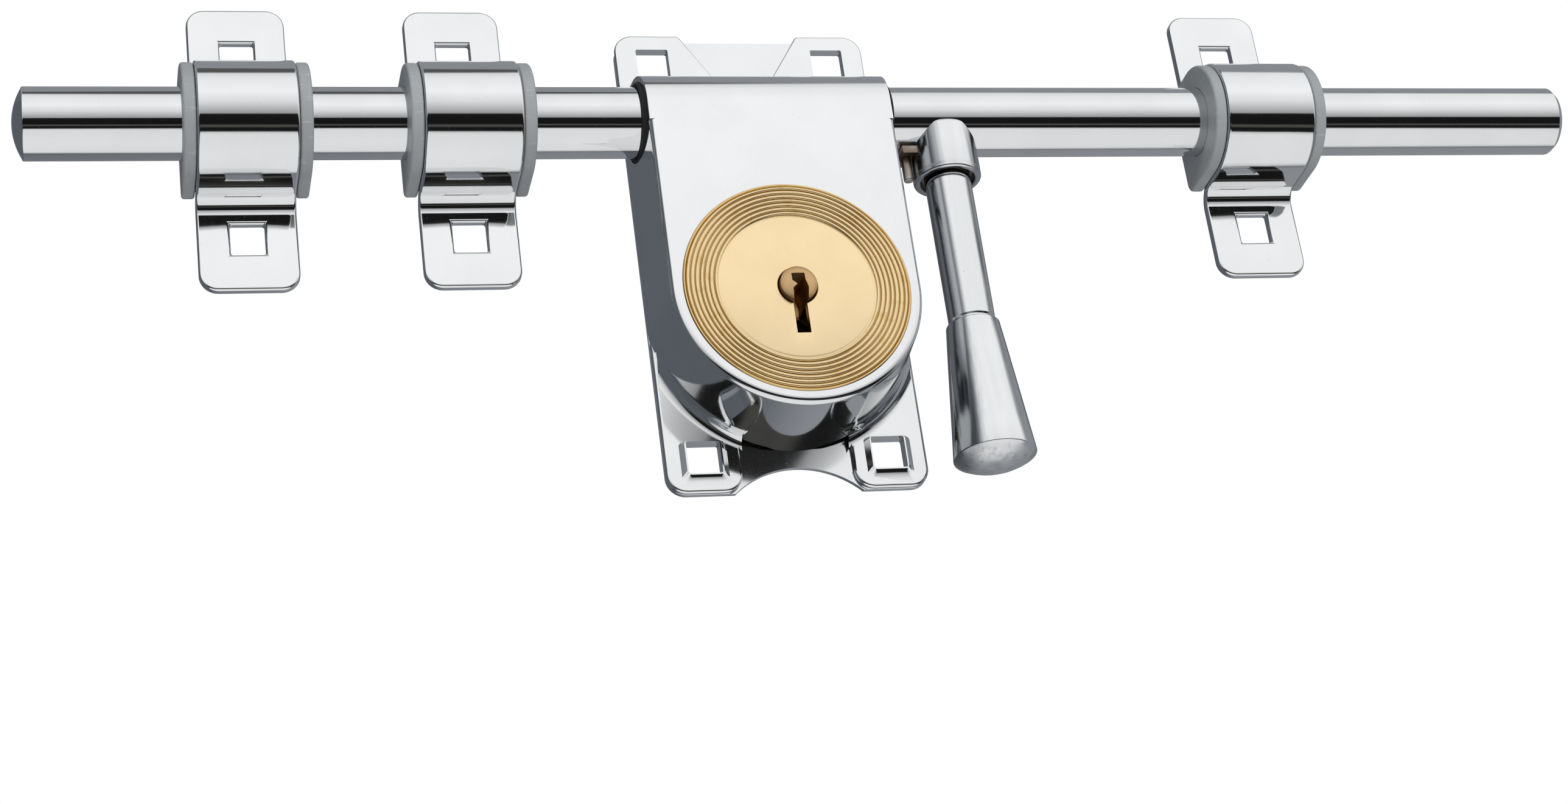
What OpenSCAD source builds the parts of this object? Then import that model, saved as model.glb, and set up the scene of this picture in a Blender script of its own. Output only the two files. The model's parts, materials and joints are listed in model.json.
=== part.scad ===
// Rod lock for a door: a round rod slides through a key-operated case and three guides.
// X runs along the rod, Z is up, and the door's face is the plane Y = 0, with the front towards -Y.
// The origin is on the door's face, straight behind the rod's axis and in the middle of the case.

/* [Rod] */
// Diameter of the sliding rod
rod_d = 14; // [12:0.5:16]
// Length of the rod
rod_len = 316; // [290:1:360]
// How far the rod reaches to the left of the case's middle
rod_reach = 144; // [138:1:160]
// Height of the rod's axis above the door
rod_rise = 10.5; // [10.5:0.1:13]
// Bulge of the rod's rounded left end
rod_dome = 1.8; // [0.5:0.1:4]
// Chamfer on the rod's right end
rod_chamfer = 1; // [0.3:0.1:2]
// How far the rod slides to the right
rod_travel = 40; // [30:0.5:41]
// Depth of the two turned grooves that the bolt enters
groove_depth = 2; // [1.5:0.1:2.5]
// Width of each turned groove
groove_w = 4.6; // [4.4:0.1:5.4]

/* [Case] */
// Width of the case's front face
case_w = 49; // [46:0.5:56]
// How far each of the case's sides leans out towards the door
case_lean = 1.3; // [0.5:0.1:2]
// Thickness of the case's drawn sheet
case_sheet = 1.2; // [0.8:0.1:1.2]
// Thickness of the back plate
plate_t = 1; // [0.8:0.1:1.2]
// Gap between the rod and the sheet that is bent over it
cover_gap = 1; // [1:0.1:2]
// Radius of the case's rounded front edge
edge_r = 1.3; // [1:0.1:2]
// Height of the upper ears above the rod's axis
ear_top = 25.6; // [25:0.1:30]
// Depth of the lower ears below the rod's axis
ear_bottom = 76; // [75:0.5:84]
// Radius of the ears' outer corners
ear_corner = 3.8; // [2:0.1:4.5]
// Width of each lower ear
ear_w = 14.8; // [13.5:0.1:16]
// Height of the bare plate between the upper ears
bridge_top = 24.6; // [22:0.1:24.8]
// Half the width of the notch between the upper ears, at their top
notch_half = 12.3; // [9:0.1:12.5]
// Height of the notch's foot
notch_foot = 13.6; // [13:0.1:18]
// Half the width of the notch at its foot
notch_foot_half = 4.7; // [3:0.1:6]
// Rise of the hollow between the lower ears
hollow_rise = 5; // [2:0.5:7]
// Radius of the bend where the cover meets the upper ears
ear_bend = 3; // [1.5:0.1:3.5]
// Height of the narrow slots between the shell and the back plate
seam_h = 0.9; // [0.6:0.1:1]
// Width of each of those slots
seam_w = 6; // [4:0.5:7]
// Space between those two slots
seam_gap = 9.2; // [7:0.1:11]

/* [Fixing holes] */
// Side of each square hole
hole_side = 6.6; // [5:0.1:7]
// Distance of the case's holes from its side
case_hole_in = 7.6; // [7:0.1:8]
// Height of the case's upper holes
case_hole_top = 19; // [18.6:0.1:20.5]
// Depth of the case's lower holes
case_hole_bottom = 69; // [68.5:0.1:70.5]

/* [Key face] */
// Depth of the key's axis below the rod's axis
key_drop = 41.6; // [40:0.1:43]
// Width of the case's rim round the brass face
face_rim = 2.3; // [1.8:0.1:4]
// How far the brass face stands out of the case
face_proud = 0.4; // [0.2:0.1:1]
// Thickness of the brass face
face_t = 2; // [1.6:0.1:2.2]
// Diameter of the plain field inside the rings
field_d = 30.6; // [26:0.2:32]
// Number of raised rings round the field
ring_count = 7; // [4:1:9]
// Height of the raised rings
ring_h = 0.35; // [0.2:0.05:0.5]
// Diameter of the turning key barrel
barrel_d = 7.2; // [6:0.1:7.6]
// Gap round the barrel where it passes the brass face
barrel_gap = 0.25; // [0.1:0.05:0.3]
// Width of the key slot
slot_w = 2.7; // [2:0.1:3]
// Reach of the key slot below the barrel's axis
slot_reach = 10; // [8:0.5:12]
// How far the barrel stands out of the brass face
barrel_proud = 0.8; // [0.1:0.1:1.2]
// Bulge of the barrel's front
barrel_dome = 0.6; // [0.4:0.1:1]
// Diameter of the barrel's pivot in the back plate
barrel_pivot_d = 3.2; // [2.6:0.1:3.6]

/* [Handle] */
// Gap between the case's side and the handle's boss
handle_gap = 4; // [3.4:0.1:6]
// Diameter of the handle's boss
boss_d = 13.6; // [12.6:0.1:13.8]
// Depth of the boss's lower end below the rod's axis
boss_drop = 13.8; // [13:0.1:18]
// Diameter of the handle's stem
stem_d = 9.2; // [8:0.1:10]
// Depth of the stem's lower end below the rod's axis
stem_drop = 46; // [40:1:55]
// Diameter of the grip at its neck
grip_neck_d = 10.6; // [10.4:0.1:12]
// Diameter of the grip at its foot
grip_foot_d = 16.2; // [14:0.1:17]
// Length of the grip's cone
grip_len = 28.4; // [22:0.5:36]
// Bulge of the grip's end
grip_dome = 2.4; // [1:0.1:4]
// Diameter of the spigot that ties the stem to the rod
spigot_d = 6; // [5:0.1:7]
// Diameter of the catch pin beside the case
catch_d = 2; // [1.6:0.1:2.4]
// Length of the catch pin below its tab
catch_len = 4.9; // [3:0.1:7]
// Thickness of the tab that carries the catch pin
tab_t = 1.6; // [1.2:0.1:2]
// Width of that tab
tab_w = 6; // [4:0.1:8]
// Gap between the tab and the rod
tab_lift = 0.1; // [0.05:0.05:0.3]
// Distance of the catch pin from the case's side
catch_out = 2.8; // [2.6:0.1:3.2]
// How far the spigot enters the rod
spigot_depth = 5; // [3:0.5:8]
// How far the stem enters the grip
grip_socket = 6; // [4:0.5:10]
// Chamfer round the boss's lower end
boss_lip = 0.6; // [0.3:0.1:0.9]
// Width of the boss's lower rim, round its recess
boss_rim = 1.3; // [1:0.1:1.5]
// Depth of the recess in the boss's lower end
boss_recess = 1.2; // [0.5:0.1:2]

/* [Guides] */
// Width of each guide strap along the rod
strap_w = 19; // [16:0.5:22]
// Thickness of the guide strap
strap_t = 2; // [1.5:0.1:2.4]
// Radius of the strap's outer bend round the rod
strap_r = 12; // [11.9:0.1:12.4]
// Radius of the bend where the strap turns out to its feet
foot_bend = 3.4; // [2:0.1:3.6]
// Height of each foot's end above or below the rod's axis
foot_reach = 31.2; // [30:0.1:36]
// Corner radius of the feet
foot_corner = 3.6; // [2:0.1:5]
// Height of the foot's hole above or below the rod's axis
foot_hole = 20.3; // [20:0.1:23]
// Place of the left guide, as a share of the rod's length left of the case
guide_left_share = 0.636; // [0.62:0.001:0.66]
// Place of the middle guide, as a share of the same length
guide_middle_share = 0.277; // [0.26:0.001:0.29]
// Place of the right guide, as a share of the rod's length right of the case
guide_right_share = 0.535; // [0.52:0.001:0.6]
// Thickness of the bush's flange beside the strap
flange_t = 2.5; // [1.5:0.1:3]
// Radius of the bush's flange
flange_r = 11.6; // [10.5:0.1:11.8]
// Corner radius of the flange at the door
flange_corner = 2; // [1:0.1:3]
// Gap between the bush and the door
bush_lift = 0.3; // [0.1:0.1:0.6]

/* [Lock work] */
// Thickness of the bolt
bolt_t = 3; // [2:0.1:3]
// Width of the bolt's head along the rod
bolt_head_w = 4; // [3:0.1:4]
// Distance of the bolt's middle from the case's side
bolt_in = 6.1; // [5.7:0.1:6.3]
// How far the bolt rises to lock the rod
bolt_throw = 2.4; // [1:0.1:2.4]
// Number of degrees that the key turns to throw the bolt
key_turn = 90; // [60:5:90]
// Thickness of each lever
lever_t = 1.4; // [1:0.1:1.5]
// Gap between neighbouring levers
lever_gap = 0.25; // [0.1:0.05:0.3]
// Diameter of the post that the levers turn on
lever_post_d = 4; // [3:0.1:4.6]
// Thickness of each lever's leaf spring
spring_t = 0.5; // [0.3:0.05:0.7]

// Diameter of the two pins that guide the bolt
guide_pin_d = 3; // [2.4:0.1:3.2]
// Gap between the resting bolt and the rod
bolt_rest_gap = 0.4; // [0.3:0.05:0.6]
// Diameter of the stump on the bolt
stump_d = 2.8; // [2.2:0.1:3]
// Reach of the barrel's cam
cam_r = 9.6; // [9:0.1:10]
// Width of the cam
cam_w = 2.4; // [1.8:0.1:2.8]
// Height of each lever's arm
lever_h = 9.2; // [8.4:0.1:9.6]
// Radius of the leaf springs' arch
spring_r = 22; // [20:0.5:24]

/* [Liners] */
// Width of each liner along the rod
liner_w = 4.2; // [3:0.1:5]
// How far each liner stands out of the case's front edge
liner_out = 0.9; // [0.4:0.1:1.2]

/* [Fits] */
// Running clearance round the rod and pivots, measured on the radius
run_fit = 0.06; // [0.03:0.01:0.08]
// Small gap between pieces that are fixed together
seat_gap = 0.05; // [0.02:0.01:0.1]

/* [Hidden] */
$fn = 96;
tiny = 0.01;
past = 5;
rod_r = rod_d / 2;
cover_r = rod_r + cover_gap + case_sheet;
front_n = rod_rise + cover_r;
ear_front = plate_t + case_sheet;
case_front_r = case_w / 2;
case_base_r = case_front_r + case_lean;
case_hole_x = case_base_r - case_hole_in;
key_z = -key_drop;
face_r = case_front_r - face_rim;
face_front = front_n + face_proud;
face_back = face_front - face_t;
field_r = field_d / 2;
ring_pitch = (face_r - field_r) / ring_count;
barrel_r = barrel_d / 2;
barrel_front = face_front + barrel_proud;
barrel_pivot_r = barrel_pivot_d / 2;
bore_run = rod_r + run_fit;
liner_r = cover_r - case_sheet - run_fit;
liner_face_x = case_front_r + liner_out;
// The inner work lies clear of the back plate by this much.
work_gap = 0.3;
// The bolt lies in the middle of the rod's depth, with the levers in front of it.
bolt_back = rod_rise - bolt_t / 2;
bolt_front = rod_rise + bolt_t / 2;
bolt_x = case_front_r - bolt_in;
bolt_edge_x = bolt_x + bolt_head_w / 2;
bolt_neck_x = bolt_x - bolt_head_w / 2;
// The bolt's foot is cut round the barrel, and the cam pushes on the two horns of that cut.
horn_z = cam_r - 0.6;
horn_h = 3;
horn_x = cam_r - 3;
horn_cut_r = cam_r + 0.5;
bolt_left_x = horn_cut_r + 1.1;
bolt_shoulder_z = -rod_r - 6;
guide_pin_r = guide_pin_d / 2;
guide_pin_z = [bolt_shoulder_z - 5.5, key_z - 5.9];
shoulder_step = 0.8;
stump_r = stump_d / 2;
stump_x = bolt_left_x + 2 * stump_r;
cam_rest = -key_turn / 2;
lever_first = bolt_front + work_gap;
lever_pitch = lever_t + lever_gap;
lever_x = -case_front_r + 9.5;
lever_z = -24;
lever_half = lever_h / 2;
stump_z = lever_z - 3;
stump_side_gap = 1.3;
stump_end_gap = 0.8;
lever_end_x = stump_x + stump_r + stump_side_gap + 1.7;
belly_half = barrel_r + 4.2;
belly_r = barrel_r + 3.2;
belly_step = 0.6;
lever_post_r = lever_post_d / 2;
lever_post_end = lever_first + 3 * lever_pitch;
spring_from = 62;
spring_to = 112;
handle_x = case_base_r + handle_gap + boss_d / 2;
catch_x = case_base_r + catch_out;
catch_r = catch_d / 2;
tab_left = catch_x - catch_r - 0.2;
tab_top = -rod_r - tab_lift;
boss_r = boss_d / 2;
stem_r = stem_d / 2;
stem_top = rod_r + boss_lip;
spigot_r = spigot_d / 2;
tenon_r = stem_r - 1;
grip_foot_r = grip_foot_d / 2;
end_gap = 0.2;
bush_body_r = strap_r - strap_t - seat_gap;
free_left = rod_reach - case_base_r;
free_right = rod_len - rod_reach - case_base_r;
guide_left_x = -case_base_r - guide_left_share * free_left;
guide_middle_x = -case_base_r - guide_middle_share * free_left;
guide_right_x = case_base_r + guide_right_share * free_right;
hollow_half = case_base_r - ear_w + 1.6;

// Radius of a shallow dome of a given rim radius and bulge.
function dome_r(rim, bulge) = (rim * rim + bulge * bulge) / (2 * bulge);

// Extrudes a shape drawn as (x, z) between two heights above the door.
module deep(n0, n1) {
  rotate([90, 0, 0]) translate([0, 0, n0]) linear_extrude(n1 - n0) children();
}

// Extrudes a shape drawn as (height above the door, z) between two places along the rod.
module along_x(x0, x1) {
  translate([x1, 0, 0]) rotate([0, 0, -90]) rotate([90, 0, 0]) linear_extrude(x1 - x0) children();
}

// A round bar along the rod's axis.
module bar_x(x0, x1, r) {
  translate([x0, -rod_rise, 0]) rotate([0, 90, 0]) cylinder(r = r, h = x1 - x0);
}

// A round bar square to the door, at a given place of the face.
module bar_n(x, z, n0, n1, r) {
  translate([x, -n0, z]) rotate([90, 0, 0]) cylinder(r = r, h = n1 - n0);
}

module rounded_box_2d(x0, x1, z0, z1, r) {
  translate([x0 + r, z0]) square([x1 - x0 - 2 * r, z1 - z0]);
  translate([x0, z0 + r]) square([x1 - x0, z1 - z0 - 2 * r]);
  for (x = [x0 + r, x1 - r], z = [z0 + r, z1 - r]) translate([x, z]) circle(r);
}

// The filling of an inside corner, for a bend of radius r between +x and +y.
module bend_2d(r) {
  difference() {
    translate([-tiny, -tiny]) square(r + tiny);
    translate([r, r]) circle(r);
  }
}

module square_hole_2d(x, z) {
  translate([x, z]) square(hole_side, center = true);
}

module case_holes_2d() {
  for (side = [-1, 1], z = [case_hole_top, -case_hole_bottom]) square_hole_2d(side * case_hole_x, z);
}

// Half of the case's cross-section: a wall that leans in from the door to a rounded front edge.
function wall_points(inset) =
  let (front = front_n - inset, r = max(edge_r - inset, 0.1),
       lean = case_lean / (front_n - plate_t),
       at_front = case_front_r - inset + lean * inset, steps = 6)
  concat([[0, plate_t - past], [case_base_r - inset + lean * past, plate_t - past]],
         [for (i = [0:steps]) let (a = 90 * i / steps)
            [at_front - r + r * cos(a) + (i == 0 ? lean * r : 0), front - r + r * sin(a)]],
         [[0, front]]);

// The case's full form, made smaller all round by inset.
module case_form(inset) {
  wall = wall_points(inset);
  both = concat(wall, [for (i = [len(wall) - 1:-1:0]) [-wall[i][0], wall[i][1]]]);
  intersection() {
    union() {
      translate([0, 0, key_z]) linear_extrude(key_drop + cover_r) mirror([0, 1]) polygon(both);
      translate([0, 0, key_z]) rotate([90, 0, 0]) rotate_extrude() polygon(wall);
    }
    along_x(-2 * case_base_r, 2 * case_base_r) {
      translate([rod_rise, 0]) circle(cover_r - inset);
      translate([inset > 0 ? -past : plate_t, -2 * key_drop]) square([front_n + past, 2 * key_drop]);
      translate([inset > 0 ? -past : plate_t, -past])
        square([rod_rise + (inset > 0 ? past : -plate_t), cover_r - inset + past]);
    }
  }
}

module lower_ear_2d(side) {
  x0 = side > 0 ? case_base_r - ear_w : -case_base_r;
  rounded_box_2d(x0, x0 + ear_w, -ear_bottom, key_z, ear_corner);
}

module ears_2d() {
  difference() {
    rounded_box_2d(-case_base_r, case_base_r, -ear_corner * 2, ear_top, ear_corner);
    polygon([[-notch_half, ear_top + tiny], [notch_half, ear_top + tiny],
             [notch_foot_half, notch_foot], [-notch_foot_half, notch_foot]]);
  }
  translate([-case_base_r, key_z]) square([2 * case_base_r, key_drop]);
  for (side = [-1, 1]) lower_ear_2d(side);
}

module case_shell() color("gainsboro") {
  difference() {
    union() {
      case_form(0);
      deep(plate_t, ear_front) ears_2d();
      along_x(-case_front_r, case_front_r) translate([ear_front, cover_r]) bend_2d(ear_bend);
    }
    case_form(case_sheet);
    bar_x(-2 * case_base_r, 2 * case_base_r, cover_r - case_sheet);
    bar_n(0, key_z, face_back - past, front_n + past, face_r + seat_gap);
    deep(plate_t - past, ear_front + past) case_holes_2d();
    for (side = [-1, 1]) seam_slot(side);
  }
}

// The shell stands off the back plate between the lower ears, and shows a narrow slot on each side.
module seam_slot(side) {
  x0 = side > 0 ? seam_gap / 2 : -seam_gap / 2 - seam_w;
  translate([x0, -plate_t - seam_h, key_z - case_base_r - past]) cube([seam_w, seam_h + tiny, case_base_r]);
}

module back_plate() color("silver") {
  difference() {
    deep(0, plate_t - tiny) difference() {
      union() {
        rounded_box_2d(-case_base_r, case_base_r, -ear_bottom, bridge_top - ear_corner, ear_corner);
        rounded_box_2d(-case_base_r, case_base_r, -ear_bottom / 2, bridge_top, ear_corner);
      }
      translate([0, hollow_rise - ear_bottom - dome_r(hollow_half, hollow_rise)])
        circle(dome_r(hollow_half, hollow_rise));
      case_holes_2d();
    }
    bar_n(0, key_z, -past, past, barrel_pivot_r + run_fit);
    bar_n(lever_x, lever_z, -past, past, lever_post_r - shoulder_step + seat_gap);
    for (z = guide_pin_z) bar_n(bolt_x, z, -past, past, guide_pin_r - shoulder_step / 2 + seat_gap);
  }
}

// Turned brass face: a plain field with raised rings round it and a keyhole.
module brass_face() color("gold") {
  difference() {
    translate([0, 0, key_z]) rotate([90, 0, 0]) rotate_extrude() {
      translate([0, face_back]) square([face_r, face_t - ring_h]);
      for (i = [0:ring_count - 1])
        translate([field_r + (i + 0.5) * ring_pitch, face_front - ring_h])
          circle(r = min(ring_h, ring_pitch * 0.45), $fn = 24);
    }
    bar_n(0, key_z, face_back - past, face_front + past, barrel_r + barrel_gap);
    deep(face_back - past, face_front + past)
      translate([-slot_w / 2, key_z - slot_reach]) square([slot_w, slot_reach]);
  }
}

// The barrel turns with the key. Its keyway lines up with the slot, and its cam throws the bolt.
module key_barrel() color("peru") {
  difference() {
    union() {
      bar_n(0, key_z, seat_gap, plate_t + 2 * work_gap, barrel_pivot_r);
      bar_n(0, key_z, plate_t + work_gap, barrel_front, barrel_r);
      translate([0, -barrel_front, key_z]) rotate([90, 0, 0]) rotate_extrude() dome_2d(barrel_r, barrel_dome);
      deep(bolt_back, bolt_front) translate([0, key_z]) rotate(cam_rest)
        translate([0, -cam_w / 2]) square([cam_r, cam_w]);
    }
    deep(bolt_front, barrel_front + past) translate([0, key_z]) keyway_2d();
  }
}

// Half of a shallow dome's section, drawn upwards from its rim.
module dome_2d(rim, bulge) {
  intersection() {
    translate([0, -tiny]) square([rim, bulge + tiny]);
    translate([0, bulge - dome_r(rim, bulge)]) circle(dome_r(rim, bulge));
  }
}

// A stepped keyway, wider at its top, that opens at the barrel's lower side.
module keyway_2d() {
  half = slot_w / 2;
  polygon([[-half, 2], [half * 0.9, 2], [half * 0.9, 0.6], [half * 1.25, -1], [half, -barrel_r - 1],
           [-half, -barrel_r - 1], [-half, -1.2], [-half * 0.35, -0.4], [-half, 0.4]]);
}

// The bolt is a flat plate with a head that enters the rod's groove and a stump that the levers block.
module bolt() color("goldenrod") {
  bolt_foot = key_z - horn_z;
  deep(bolt_back, bolt_front) difference() {
    union() {
      translate([bolt_left_x, bolt_foot]) square([bolt_edge_x - bolt_left_x, bolt_shoulder_z - bolt_foot]);
      translate([bolt_neck_x, bolt_shoulder_z - tiny])
        square([bolt_head_w, -rod_r - bolt_rest_gap - bolt_shoulder_z]);
      for (z = [key_z + horn_z, bolt_foot - horn_h])
        translate([horn_x, z - tiny]) square([bolt_edge_x - horn_x, horn_h + 2 * tiny]);
    }
    translate([0, key_z]) circle(horn_cut_r);
    for (z = guide_pin_z) guide_slot_2d(z);
  }
  bar_n(stump_x, stump_z, bolt_front - tiny, lever_post_end, stump_r);
}

// A slot that lets the bolt rise past its guide pin.
module guide_slot_2d(z) {
  slot_r = guide_pin_r + run_fit;
  translate([bolt_x - slot_r, z - bolt_throw]) square([2 * slot_r, bolt_throw]);
  for (end = [z - bolt_throw - end_gap, z + end_gap]) translate([bolt_x, end]) circle(slot_r);
}

module bolt_guide_pins() color("silver") {
  for (z = guide_pin_z) {
    bar_n(bolt_x, z, seat_gap, plate_t + tiny, guide_pin_r - shoulder_step / 2);
    bar_n(bolt_x, z, plate_t, bolt_back - work_gap, guide_pin_r + shoulder_step);
    bar_n(bolt_x, z, bolt_back - work_gap - tiny, bolt_front + work_gap, guide_pin_r);
  }
}

module lever_post() color("silver") {
  bar_n(lever_x, lever_z, seat_gap, plate_t + tiny, lever_post_r - shoulder_step);
  bar_n(lever_x, lever_z, plate_t, lever_first - work_gap, lever_post_r + shoulder_step);
  bar_n(lever_x, lever_z, lever_first - work_gap - tiny, lever_post_end, lever_post_r);
}

// A lever turns on its post. Its belly clears the barrel, and its window clears the bolt's stump.
module lever(i) color("khaki") {
  n0 = lever_first + i * lever_pitch;
  window_half = stump_r + stump_side_gap;
  window_foot = stump_z - stump_r - stump_end_gap;
  deep(n0, n0 + lever_t) difference() {
    union() {
      translate([lever_x, lever_z]) circle(lever_half);
      translate([lever_x, lever_z - lever_half]) square([lever_end_x - lever_x, lever_h]);
      translate([-belly_half, key_z + barrel_r]) square([2 * belly_half, lever_z - key_z - barrel_r]);
    }
    translate([lever_x, lever_z]) circle(lever_post_r + run_fit);
    translate([0, key_z]) circle(belly_r + i * belly_step);
    translate([stump_x - window_half, window_foot])
      square([2 * window_half, bolt_throw + 2 * (stump_r + stump_end_gap)]);
  }
}

// Each lever's leaf spring rises from the lever's back and arches over it.
module leaf_spring(i) color("khaki") {
  n0 = lever_first + i * lever_pitch;
  back_z = lever_z + lever_half;
  deep(n0 + end_gap, n0 + lever_t - end_gap) intersection() {
    translate([0, back_z + end_gap - spring_r * sin(spring_from)]) difference() {
      circle(spring_r);
      circle(spring_r - spring_t);
    }
    translate([spring_r * cos(spring_to), back_z]) square(spring_r);
  }
}

// A round liner in the side of the case, under the bent cover. It turns with the rod.
module case_liner(side) color("dimgray") {
  outer = side * liner_face_x;
  inner = outer - side * liner_w;
  difference() {
    bar_x(min(inner, outer), max(inner, outer), liner_r);
    bar_x(min(inner, outer) - past, max(inner, outer) + past, bore_run);
  }
}

module rod_profile_2d() {
  difference() {
    union() {
      translate([0, rod_dome]) square([rod_r, rod_len - rod_dome]);
      translate([0, rod_dome]) mirror([0, 1]) dome_2d(rod_r, rod_dome);
    }
    for (x = [bolt_x, bolt_x - rod_travel])
      translate([rod_r - groove_depth, x + rod_reach - groove_w / 2]) square([past, groove_w]);
    translate([rod_r - rod_chamfer, rod_len]) rotate(-45) square([past, past]);
  }
}

module rod() color("gainsboro") {
  difference() {
    translate([-rod_reach, -rod_rise, 0]) rotate([0, 90, 0]) rotate_extrude() rod_profile_2d();
    translate([handle_x, -rod_rise, -rod_r - past])
      cylinder(r = spigot_r + seat_gap, h = spigot_depth + past);
  }
}

// Boss of the handle, cut to the rod's round and open below for the stem.
module handle_boss() color("gainsboro") {
  difference() {
    translate([handle_x, -rod_rise, -boss_drop]) rotate_extrude() boss_2d();
    bar_x(handle_x - boss_d, handle_x + boss_d, rod_r + seat_gap);
    translate([handle_x, -rod_rise, -boss_drop - past]) {
      cylinder(r = stem_r + seat_gap, h = boss_drop + past);
      cylinder(r = boss_r - boss_rim, h = boss_recess + past);
    }
  }
}

module boss_2d() {
  polygon([[0, 0], [boss_r - boss_lip, 0], [boss_r, boss_lip], [boss_r, boss_drop], [0, boss_drop]]);
}

module handle_stem() color("gainsboro") {
  translate([handle_x, -rod_rise, 0]) {
    translate([0, 0, -stem_drop]) cylinder(r = stem_r, h = stem_drop - stem_top);
    translate([0, 0, -stem_drop - grip_socket]) cylinder(r = tenon_r, h = grip_socket + tiny);
    translate([0, 0, -stem_top - tiny]) cylinder(r = spigot_r, h = stem_top - rod_r + spigot_depth - end_gap);
  }
}

// The grip widens towards its foot and ends in a low dome.
module handle_grip() color("gainsboro") {
  translate([handle_x, -rod_rise, -stem_drop]) difference() {
    union() {
      translate([0, 0, -grip_len]) cylinder(r1 = grip_foot_r, r2 = grip_neck_d / 2, h = grip_len - seat_gap);
      translate([0, 0, -grip_len]) mirror([0, 0, 1]) rotate_extrude() dome_2d(grip_foot_r, grip_dome);
    }
    translate([0, 0, -grip_socket - end_gap]) cylinder(r = tenon_r + seat_gap, h = grip_socket + past);
  }
}

// Flat tab brazed to the boss, which carries the catch pin beside the case.
module catch_tab() color("tan") {
  difference() {
    translate([tab_left, -rod_rise - tab_w / 2, tab_top - tab_t])
      cube([handle_x - tab_left, tab_w, tab_t]);
    translate([handle_x, -rod_rise, -boss_drop]) cylinder(r = boss_r + seat_gap, h = boss_drop);
    translate([catch_x, -rod_rise, -boss_drop]) cylinder(r = catch_r + seat_gap, h = boss_drop);
  }
}

module catch_pin() color("silver") {
  translate([catch_x, -rod_rise, tab_top - tab_t - catch_len]) cylinder(r = catch_r, h = catch_len + tab_t);
}

// One strap is bent over its bush and turned out to a flat foot above and below.
module strap_2d() {
  inner_r = strap_r - strap_t;
  outer_bend = foot_bend + strap_t;
  difference() {
    union() {
      translate([rod_rise, 0]) circle(strap_r);
      translate([0, -strap_r]) square([rod_rise, 2 * strap_r]);
      translate([0, -foot_reach]) square([strap_t, 2 * foot_reach]);
      for (side = [0, 1]) mirror([0, side]) translate([strap_t, strap_r]) bend_2d(foot_bend);
    }
    translate([rod_rise, 0]) circle(inner_r);
    translate([-past, -inner_r]) square([rod_rise + past, 2 * inner_r]);
    for (side = [0, 1]) mirror([0, side]) translate([0, inner_r]) bend_2d(outer_bend);
  }
}

module guide_strap(x) color("gainsboro") {
  intersection() {
    along_x(x - strap_w / 2, x + strap_w / 2) strap_2d();
    deep(-past, front_n + past) difference() {
      rounded_box_2d(x - strap_w / 2, x + strap_w / 2, -foot_reach, foot_reach, foot_corner);
      for (side = [-1, 1]) square_hole_2d(x, side * foot_hole);
    }
  }
}

// The bush fills the strap and has a flange on each side, flat where it meets the door.
module bush_2d(r) {
  intersection() {
    union() {
      translate([rod_rise, 0]) circle(r);
      rounded_box_2d(bush_lift, rod_rise + flange_corner, -r, r, flange_corner);
    }
    translate([bush_lift, -r]) square([rod_rise + r, 2 * r]);
  }
}

module guide_bush(x) color("darkgray") {
  body = strap_w / 2 + seat_gap;
  flange = body + flange_t;
  difference() {
    union() {
      along_x(x - body, x + body) bush_2d(bush_body_r);
      for (x0 = [x - flange, x + body]) along_x(x0, x0 + flange_t) bush_2d(flange_r);
    }
    bar_x(x - flange - past, x + flange + past, bore_run);
  }
}

back_plate();
case_shell();
brass_face();
key_barrel();
bolt();
bolt_guide_pins();
lever_post();
lever(0);  // lever_1
lever(1);  // lever_2
lever(2);  // lever_3
leaf_spring(0);  // spring_1
leaf_spring(1);  // spring_2
leaf_spring(2);  // spring_3
case_liner(-1);  // case_liner_left
case_liner(1);  // case_liner_right
rod();
handle_boss();
handle_stem();
handle_grip();
catch_tab();
catch_pin();
guide_strap(guide_left_x);  // guide_strap_left
guide_strap(guide_middle_x);  // guide_strap_middle
guide_strap(guide_right_x);  // guide_strap_right
guide_bush(guide_left_x);  // guide_bush_left
guide_bush(guide_middle_x);  // guide_bush_middle
guide_bush(guide_right_x);  // guide_bush_right
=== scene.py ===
import json
import math

import bpy
from mathutils import Matrix, Vector

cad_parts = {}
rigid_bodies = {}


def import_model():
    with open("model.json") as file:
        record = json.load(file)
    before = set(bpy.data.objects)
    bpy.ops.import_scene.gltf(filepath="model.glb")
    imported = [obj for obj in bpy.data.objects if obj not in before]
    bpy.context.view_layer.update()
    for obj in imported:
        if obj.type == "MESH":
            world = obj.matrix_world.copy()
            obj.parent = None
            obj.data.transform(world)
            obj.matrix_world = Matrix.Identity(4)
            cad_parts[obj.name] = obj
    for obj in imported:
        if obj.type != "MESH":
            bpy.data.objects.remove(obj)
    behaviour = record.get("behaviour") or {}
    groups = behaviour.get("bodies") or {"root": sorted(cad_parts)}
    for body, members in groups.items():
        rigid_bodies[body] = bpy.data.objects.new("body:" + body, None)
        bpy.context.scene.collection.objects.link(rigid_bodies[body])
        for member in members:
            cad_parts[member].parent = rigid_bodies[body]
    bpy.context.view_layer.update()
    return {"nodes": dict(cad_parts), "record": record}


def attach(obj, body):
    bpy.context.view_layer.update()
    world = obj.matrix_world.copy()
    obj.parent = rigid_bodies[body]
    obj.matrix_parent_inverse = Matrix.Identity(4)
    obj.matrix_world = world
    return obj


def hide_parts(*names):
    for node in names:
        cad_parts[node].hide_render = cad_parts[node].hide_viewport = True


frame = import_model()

bodyOf = {node: body for body, nodes in frame["record"]["behaviour"]["bodies"].items() for node in nodes}

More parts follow.
